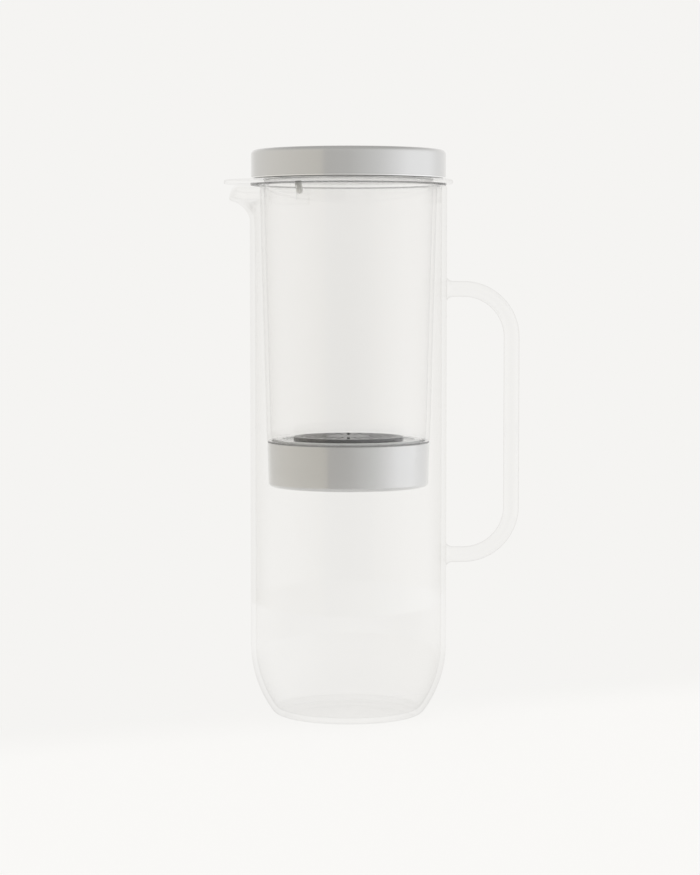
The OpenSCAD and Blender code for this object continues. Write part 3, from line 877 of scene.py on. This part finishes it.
def floor_material():
    """Pale floor that is seen at its own brightness, softly turning into the wall with distance.
    Mirrors see it dimmer on the near side."""
    mat, tree, out = bare_material("floor")
    where = node(tree, "ShaderNodeNewGeometry")
    across = node(tree, "ShaderNodeVectorMath", [(1, (-0.49, 1, 0))], operation="DOT_PRODUCT")
    far = map_range(tree, -0.065, 0.035, kind="SMOOTHSTEP")
    away = node(tree, "ShaderNodeVectorMath", operation="LENGTH")
    rim = map_range(tree, 0.8 * FLOOR_R * MM, FLOOR_R * MM, kind="SMOOTHSTEP")
    edge = node(tree, "ShaderNodeMath", operation="MAXIMUM")
    keep = map_range(tree, 0, 1, 0.92)
    tone = node(tree, "ShaderNodeValToRGB")
    tone.color_ramp.elements[0].color = (*FLOOR, 1)
    tone.color_ramp.elements[1].color = (*WALL, 1)
    front = node(tree, "ShaderNodeVectorMath", [(1, (0, -1, 0))], operation="DOT_PRODUCT")
    dim = map_range(tree, -0.2, 0.1, 1, 0.74)
    level = node(tree, "ShaderNodeMath", operation="MAXIMUM")
    glow = node(tree, "ShaderNodeEmission")
    matt = node(tree, "ShaderNodeBsdfDiffuse")
    seen = node(tree, "ShaderNodeMath", operation="MULTIPLY")
    mix = node(tree, "ShaderNodeMixShader")
    link = tree.links.new
    link(where.outputs["Position"], across.inputs[0])
    link(across.outputs["Value"], far.inputs["Value"])
    link(where.outputs["Position"], away.inputs[0])
    link(away.outputs["Value"], rim.inputs["Value"])
    link(far.outputs["Result"], edge.inputs[0])
    link(rim.outputs["Result"], edge.inputs[1])
    link(edge.outputs[0], keep.inputs["Value"])
    link(edge.outputs[0], tone.inputs["Fac"])
    link(where.outputs["Position"], front.inputs[0])
    link(front.outputs["Value"], dim.inputs["Value"])
    link(dim.outputs["Result"], level.inputs[0])
    link(ray_share(tree, "Is Camera Ray"), level.inputs[1])
    link(level.outputs[0], glow.inputs["Strength"])
    link(tone.outputs["Color"], glow.inputs["Color"])
    link(tone.outputs["Color"], matt.inputs["Color"])
    link(ray_share(tree, "Is Camera Ray", "Is Glossy Ray", "Is Transmission Ray"), seen.inputs[0])
    link(keep.outputs["Result"], seen.inputs[1])
    link(seen.outputs[0], mix.inputs["Fac"])
    link(matt.outputs["BSDF"], mix.inputs[1])
    link(glow.outputs["Emission"], mix.inputs[2])
    link(mix.outputs["Shader"], out.inputs["Surface"])
    return mat


floor_rim = [column[0] for column in turned(lambda a: [(FLOOR_R, FLOOR_Z)], even(64))]
floor = mesh_object("floor", floor_rim, [list(range(len(floor_rim)))])
floor.data.materials.append(floor_material())


def studio():
    """Pale backdrop for what is seen, and a level studio round the object with a brighter right side."""
    world = bpy.data.worlds.new("studio")
    bpy.context.scene.world = world
    world.use_nodes = True
    tree = world.node_tree
    tree.nodes.clear()
    link = tree.links.new
    out = node(tree, "ShaderNodeOutputWorld")
    coord = node(tree, "ShaderNodeTexCoord")
    parts = node(tree, "ShaderNodeSeparateXYZ")
    back = node(tree, "ShaderNodeMath", [(1, -1)], operation="MULTIPLY")
    turn = node(tree, "ShaderNodeMath", operation="ARCTAN2")
    share = map_range(tree, -math.pi, math.pi)
    ramp = node(tree, "ShaderNodeValToRGB")
    stops = (
        (-180, WALL), (-168, WALL), (-140, (0.73, 0.715, 0.68)), (-100, (0.7, 0.675, 0.62)),
        (-31, (0.585, 0.558, 0.5)), (-28, (0.455, 0.446, 0.422)), (0, (0.485, 0.479, 0.46)),
        (35, (0.68, 0.68, 0.67)), (75, (1.05, 1.055, 1.06)), (110, (1.08, 1.085, 1.09)),
        (130, (0.89, 0.89, 0.885)), (158, WALL), (180, WALL))
    ramp.color_ramp.elements.remove(ramp.color_ramp.elements[1])
    for i, (angle, colour) in enumerate(stops):
        stop = ramp.color_ramp.elements[0] if i == 0 else ramp.color_ramp.elements.new((angle + 180) / 360)
        stop.position = (angle + 180) / 360
        stop.color = (*colour, 1)
    up = map_range(tree, 0.25, 0.9, kind="SMOOTHSTEP")
    lift = node(tree, "ShaderNodeMix", [(7, CEILING)], data_type="RGBA")
    low = map_range(tree, -0.1, 0.06, 0, 0.4)
    raised = node(tree, "ShaderNodeMix", [(7, (0.8, 0.79, 0.775, 1))], data_type="RGBA")
    dome = node(tree, "ShaderNodeBackground")
    plain = node(tree, "ShaderNodeBackground", [("Color", (*WALL, 1))])
    path = node(tree, "ShaderNodeLightPath")
    mix = node(tree, "ShaderNodeMixShader")
    link(coord.outputs["Generated"], parts.inputs["Vector"])
    link(parts.outputs["Y"], back.inputs[0])
    link(parts.outputs["X"], turn.inputs[0])
    link(back.outputs[0], turn.inputs[1])
    link(turn.outputs[0], share.inputs["Value"])
    link(share.outputs["Result"], ramp.inputs["Fac"])
    link(parts.outputs["Z"], up.inputs["Value"])
    link(up.outputs["Result"], lift.inputs["Factor"])
    link(parts.outputs["Z"], low.inputs["Value"])
    link(ramp.outputs["Color"], raised.inputs[6])
    link(low.outputs["Result"], raised.inputs["Factor"])
    link(raised.outputs[2], lift.inputs[6])
    link(lift.outputs[2], dome.inputs["Color"])
    link(path.outputs["Is Camera Ray"], mix.inputs["Fac"])
    link(dome.outputs["Background"], mix.inputs[1])
    link(plain.outputs["Background"], mix.inputs[2])
    link(mix.outputs["Shader"], out.inputs["Surface"])


studio()

lamp = bpy.data.lights.new("lamp", "AREA")
lamp.size = 1.2
lamp.energy = 10
above = bpy.data.objects.new("lamp", lamp)
above.location = (0.1, -0.2, 1.6)
above.visible_camera = above.visible_glossy = False
bpy.context.collection.objects.link(above)

camera = bpy.data.cameras.new("camera")
camera.lens = 101.8
view = bpy.data.objects.new("camera", camera)
view.location = (0.0008, -1.259, 0.224)
view.rotation_euler = (math.radians(90 - 3.76), 0, 0)
bpy.context.collection.objects.link(view)
bpy.context.scene.camera = view
bpy.context.scene.view_settings.view_transform = "Standard"
cycles = bpy.context.scene.cycles
cycles.max_bounces = cycles.glossy_bounces = cycles.transmission_bounces = 48
cycles.transparent_max_bounces = 96
cycles.blur_glossy = 0
